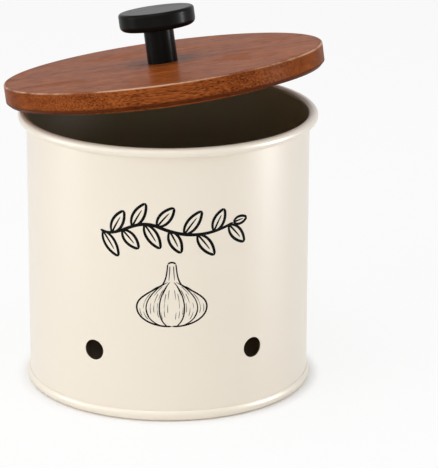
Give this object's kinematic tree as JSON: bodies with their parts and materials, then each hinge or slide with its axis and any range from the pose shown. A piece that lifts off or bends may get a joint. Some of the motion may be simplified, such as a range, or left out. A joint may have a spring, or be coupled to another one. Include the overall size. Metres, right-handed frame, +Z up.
{
  "type": "garlic keeper",
  "caption": "Round vented sheet steel canister with a loose wooden lid lying ajar, tipped by a turned black knob.",
  "frame": {"origin": "centre of the flat ring that the canister stands on", "axes": "+Z up along the canister's axis, -Y towards the front with the printed ornament, +X to the right seen from the front"},
  "size_m": [0.158, 0.1581, 0.1904],
  "materials": {
    "coated_steel": "cream satin powder coat outside, dark lacquer inside",
    "lid_wood": "reddish brown wood, lightly lacquered",
    "knob_black": "black satin",
    "plated_steel": "zinc plated",
    "ink": "printed black ornament"
  },
  "bodies": {
    "canister": {"body_shell": "coated_steel", "base_pan": "coated_steel"},
    "lid": {"lid_board": "lid_wood", "knob_post": "knob_black", "knob_head": "knob_black", "lid_screw": "plated_steel", "screw_washer": "plated_steel"}
  },
  "joints": [
    {"name": "lid_tip", "type": "hinge", "parent": "canister", "child": "lid", "pos_m": [-0.05299, 0.04845, 0.136], "axis": [-0.6748, -0.738, 0], "range_deg": [-10.06, 50]}
  ]
}
